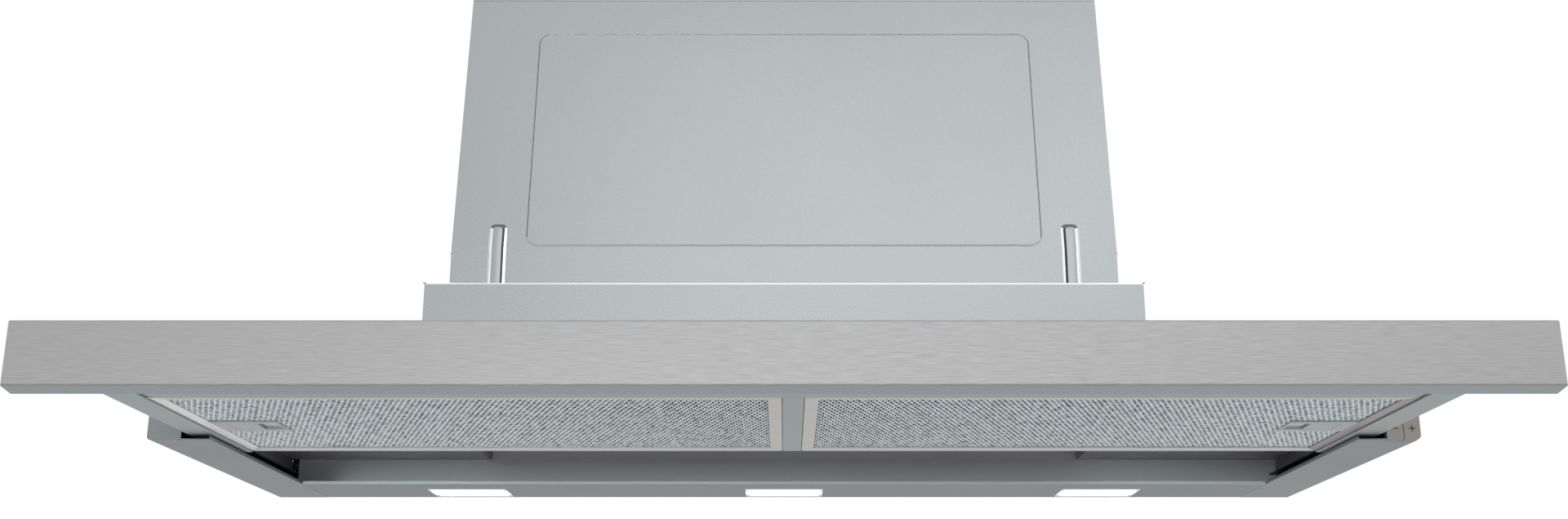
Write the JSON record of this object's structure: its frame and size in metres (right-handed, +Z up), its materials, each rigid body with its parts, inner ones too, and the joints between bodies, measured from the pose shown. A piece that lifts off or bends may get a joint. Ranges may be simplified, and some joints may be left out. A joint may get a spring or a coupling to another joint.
{
  "type": "pull out range hood",
  "caption": "Wide flat cooker hood built into a wall cabinet, with a motor box above and a visor of grease filters behind a front bar that pulls out over the hob.",
  "frame": {"origin": "on the wall, in the middle of the hood's width, level with the underside of the cabinet that holds it", "axes": "+X across the hood to the right as seen from the front, -Y out of the front, +Z up"},
  "size_m": [0.898, 0.496, 0.426],
  "materials": {
    "brushed_bar": "brushed stainless steel, grain along the bar",
    "silver_sheet": "silver metallic sheet, fine grain",
    "dark_sheet": "plain sheet, satin",
    "black_plastic": "moulded, matt",
    "grey_plastic": "moulded, matt",
    "lamp_lens": "frosted lens",
    "key_metal": "warm grey metallic, satin",
    "zinc_steel": "zinc plated, dull",
    "filter_frame": "rolled aluminium, satin",
    "filter_mesh": "expanded aluminium mesh",
    "filter_latch": "satin"
  },
  "bodies": {
    "hood": {"carcass_side_left": "silver_sheet", "carcass_side_right": "silver_sheet", "carcass_top_left": "silver_sheet", "carcass_top_right": "silver_sheet", "inner_side_wall_left": "dark_sheet", "inner_side_wall_right": "dark_sheet", "slide_channel_left": "black_plastic", "slide_channel_right": "black_plastic", "front_glide_left": "black_plastic", "front_glide_right": "black_plastic", "rear_channel": "dark_sheet", "light_strip": "silver_sheet", "lamp_lens_left": "lamp_lens", "lamp_lens_middle": "lamp_lens", "lamp_lens_right": "lamp_lens", "lamp_module_left": "grey_plastic", "lamp_module_middle": "grey_plastic", "lamp_module_right": "grey_plastic", "key_housing": "black_plastic", "lower_housing": "silver_sheet", "motor_box_front": "silver_sheet", "motor_box_side_left": "silver_sheet", "motor_box_side_right": "silver_sheet", "motor_box_back": "silver_sheet", "motor_box_top": "silver_sheet", "duct_collar": "grey_plastic", "flap_spindle": "zinc_steel", "fan_scroll": "grey_plastic", "fan_motor": "zinc_steel", "motor_bracket": "silver_sheet", "control_box": "grey_plastic", "led_driver": "black_plastic", "capacitor": "zinc_steel", "terminal_box": "grey_plastic", "cable_gland": "black_plastic", "cabinet_clamp_left": "zinc_steel", "cabinet_clamp_right": "zinc_steel"},
    "visor": {"front_bar": "brushed_bar", "visor_cross_rail": "silver_sheet", "visor_divider": "silver_sheet", "visor_rear_rail": "silver_sheet", "visor_rail_left": "silver_sheet", "visor_rail_right": "silver_sheet", "rail_runner_left": "black_plastic", "rail_runner_right": "black_plastic"},
    "filter_left": {"filter_frame_left": "filter_frame", "filter_mesh_left": "filter_mesh", "latch_plate_left": "filter_latch"},
    "filter_right": {"filter_frame_right": "filter_frame", "filter_mesh_right": "filter_mesh", "latch_plate_right": "filter_latch"},
    "latch_left": {"latch_slider_left": "filter_latch"},
    "latch_right": {"latch_slider_right": "filter_latch"},
    "minus_key": {"key_minus": "key_metal"},
    "plus_key": {"key_plus": "key_metal"},
    "fan": {"fan_wheel": "black_plastic", "motor_shaft": "zinc_steel"},
    "front_flap": {"flap_front": "grey_plastic"},
    "rear_flap": {"flap_rear": "grey_plastic"}
  },
  "joints": [
    {"name": "visor_slide", "type": "slide", "parent": "hood", "child": "visor", "axis": [0, 1, 0], "range_m": [0, 0.2]},
    {"name": "filter_left_drop", "type": "hinge", "parent": "visor", "child": "filter_left", "pos_m": [-0.0013, -0.3155, -0.029], "axis": [0, 1, 0], "range_deg": [-40, 0]},
    {"name": "filter_right_drop", "type": "hinge", "parent": "visor", "child": "filter_right", "pos_m": [0.0131, -0.3155, -0.029], "axis": [0, -1, 0], "range_deg": [-40, 0]},
    {"name": "latch_left_slide", "type": "slide", "parent": "filter_left", "child": "latch_left", "axis": [-1, 0, 0], "range_m": [-0.006, 0]},
    {"name": "latch_right_slide", "type": "slide", "parent": "filter_right", "child": "latch_right", "axis": [1, 0, 0], "range_m": [-0.006, 0]},
    {"name": "minus_key_press", "type": "slide", "parent": "hood", "child": "minus_key", "axis": [0, 1, 0], "range_m": [0, 0.001]},
    {"name": "plus_key_press", "type": "slide", "parent": "hood", "child": "plus_key", "axis": [0, 1, 0], "range_m": [0, 0.001]},
    {"name": "fan_spin", "type": "hinge", "parent": "hood", "child": "fan", "pos_m": [0, -0.1, 0.17], "axis": [1, 0, 0], "continuous": true},
    {"name": "front_flap_lift", "type": "hinge", "parent": "hood", "child": "front_flap", "pos_m": [0, -0.09125, 0.3668], "axis": [1, 0, 0], "range_deg": [-75, 0]},
    {"name": "rear_flap_lift", "type": "hinge", "parent": "hood", "child": "rear_flap", "pos_m": [0, -0.09125, 0.3668], "axis": [1, 0, 0], "range_deg": [0, 75]}
  ],
  "couplings": [
    {"joint": "rear_flap_lift", "follows": "front_flap_lift", "ratio": -1}
  ]
}
